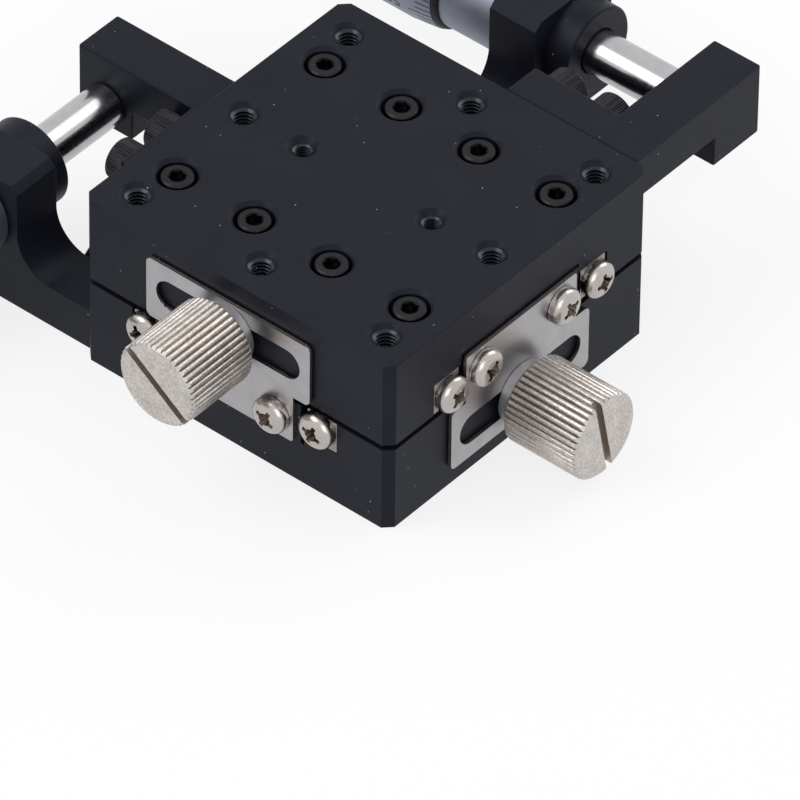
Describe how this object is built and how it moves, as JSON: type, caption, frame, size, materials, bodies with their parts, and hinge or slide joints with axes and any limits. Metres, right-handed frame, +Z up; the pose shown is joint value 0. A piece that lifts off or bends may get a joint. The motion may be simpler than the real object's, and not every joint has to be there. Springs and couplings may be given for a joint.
{
  "type": "xy linear stage",
  "caption": "Compact two-axis crossed-roller linear stage with micrometer heads, spring return and side locks for positioning small parts",
  "frame": {"origin": "centre of the base's underside", "axes": "+Z up; +X is the top body's travel, +Y is the middle block's travel; the locks are on -Y and +X"},
  "size_m": [0.1226, 0.1542, 0.0335],
  "materials": {
    "black_anodised": "black anodised, fine satin",
    "black_oxide": "black oxide, slightly oily sheen",
    "black_rubber": "black rubber wiper",
    "rail_steel": "ground hardened steel",
    "roller_steel": "polished bearing steel",
    "cage_brass": "stamped brass strip",
    "plain_screw": "bright nickel plated",
    "spring_steel": "drawn spring wire",
    "plate_stainless": "satin stainless sheet",
    "nickel": "nickel plated brass, straight knurl",
    "washer_steel": "matt turned steel",
    "spindle_steel": "ground steel",
    "satin_chrome": "satin chrome plate"
  },
  "bodies": {
    "base": {"base_body": "black_anodised", "y_outer_rails": "rail_steel", "y_outer_rail_screws": "black_oxide", "y_rail_end_screws": "plain_screw", "y_preload_screws": "black_oxide", "y_spring_body_pin": "spring_steel", "y_lock_collar": "washer_steel", "y_lock_washer": "washer_steel", "y_micrometer_holder": "black_anodised", "y_holder_screws": "black_oxide", "y_sleeve": "satin_chrome", "y_clamp_nut": "black_anodised", "y_return_spring": "spring_steel"},
    "middle": {"middle_block": "black_anodised", "x_inner_rails": "rail_steel", "x_inner_rail_screws": "plain_screw", "x_lock_plate": "plate_stainless", "x_lock_plate_screws": "plain_screw", "x_spring_middle_pin": "spring_steel", "x_micrometer_holder": "black_anodised", "x_holder_screws": "black_oxide", "x_sleeve": "satin_chrome", "x_clamp_nut": "black_anodised", "x_return_spring": "spring_steel", "y_inner_rails": "rail_steel", "y_inner_rail_screws": "plain_screw", "y_lock_plate": "plate_stainless", "y_lock_plate_screws": "plain_screw", "y_spring_middle_pin": "spring_steel", "y_anvil": "black_anodised", "y_anvil_screws": "black_oxide"},
    "top": {"top_body": "black_anodised", "x_outer_rails": "rail_steel", "x_outer_rail_screws": "black_oxide", "x_rail_end_screws": "plain_screw", "x_preload_screws": "black_oxide", "x_spring_body_pin": "spring_steel", "x_lock_collar": "washer_steel", "x_lock_washer": "washer_steel", "x_anvil": "black_anodised", "x_anvil_screws": "black_oxide"},
    "x_cages": {"x_roller_cages": "cage_brass", "x_rollers": "roller_steel"},
    "x_spindle": {"x_spindle": "spindle_steel"},
    "x_thimble": {"x_thimble": "satin_chrome", "x_wiper_ring": "black_rubber", "x_lead_screw": "spindle_steel", "x_ratchet": "satin_chrome"},
    "x_lock_knob": {"x_lock_knob": "nickel", "x_lock_stud": "washer_steel"},
    "y_cages": {"y_roller_cages": "cage_brass", "y_rollers": "roller_steel"},
    "y_spindle": {"y_spindle": "spindle_steel"},
    "y_thimble": {"y_thimble": "satin_chrome", "y_wiper_ring": "black_rubber", "y_lead_screw": "spindle_steel", "y_ratchet": "satin_chrome"},
    "y_lock_knob": {"y_lock_knob": "nickel", "y_lock_stud": "washer_steel"}
  },
  "joints": [
    {"name": "y_slide", "type": "slide", "parent": "base", "child": "middle", "axis": [0, 1, 0], "range_m": [-0.0065, 0.0065], "deforming": ["y_return_spring"]},
    {"name": "x_slide", "type": "slide", "parent": "middle", "child": "top", "axis": [1, 0, 0], "range_m": [-0.0065, 0.0065], "deforming": ["x_return_spring"]},
    {"name": "y_cage_slide", "type": "slide", "parent": "base", "child": "y_cages", "axis": [0, 1, 0], "range_m": [-0.00325, 0.00325]},
    {"name": "x_cage_slide", "type": "slide", "parent": "middle", "child": "x_cages", "axis": [1, 0, 0], "range_m": [-0.00325, 0.00325]},
    {"name": "y_spindle_slide", "type": "slide", "parent": "base", "child": "y_spindle", "axis": [0, 1, 0], "range_m": [-0.0065, 0.0065]},
    {"name": "x_spindle_slide", "type": "slide", "parent": "middle", "child": "x_spindle", "axis": [1, 0, 0], "range_m": [-0.0065, 0.0065]},
    {"name": "y_thimble_turn", "type": "hinge", "parent": "y_spindle", "child": "y_thimble", "pos_m": [-0.0558, -0.06, 0.0158], "axis": [0, 1, 0], "range_deg": [-4680, 4680]},
    {"name": "x_thimble_turn", "type": "hinge", "parent": "x_spindle", "child": "x_thimble", "pos_m": [-0.045, 0.0555, 0.0241], "axis": [1, 0, 0], "range_deg": [-4680, 4680]},
    {"name": "y_lock_turn", "type": "hinge", "parent": "base", "child": "y_lock_knob", "pos_m": [0.041, -0.00075, 0.0094], "axis": [1, 0, 0], "range_deg": [0, 360]},
    {"name": "x_lock_turn", "type": "hinge", "parent": "top", "child": "x_lock_knob", "pos_m": [-0.00075, -0.041, 0.0236], "axis": [0, -1, 0], "range_deg": [0, 360]}
  ],
  "couplings": [
    {"joint": "x_spindle_slide", "follows": "x_slide", "ratio": 1},
    {"joint": "x_thimble_turn", "follows": "x_slide", "rad_per_m": 12566},
    {"joint": "x_cage_slide", "follows": "x_slide", "ratio": 0.5},
    {"joint": "y_spindle_slide", "follows": "y_slide", "ratio": 1},
    {"joint": "y_thimble_turn", "follows": "y_slide", "rad_per_m": 12566},
    {"joint": "y_cage_slide", "follows": "y_slide", "ratio": 0.5}
  ]
}
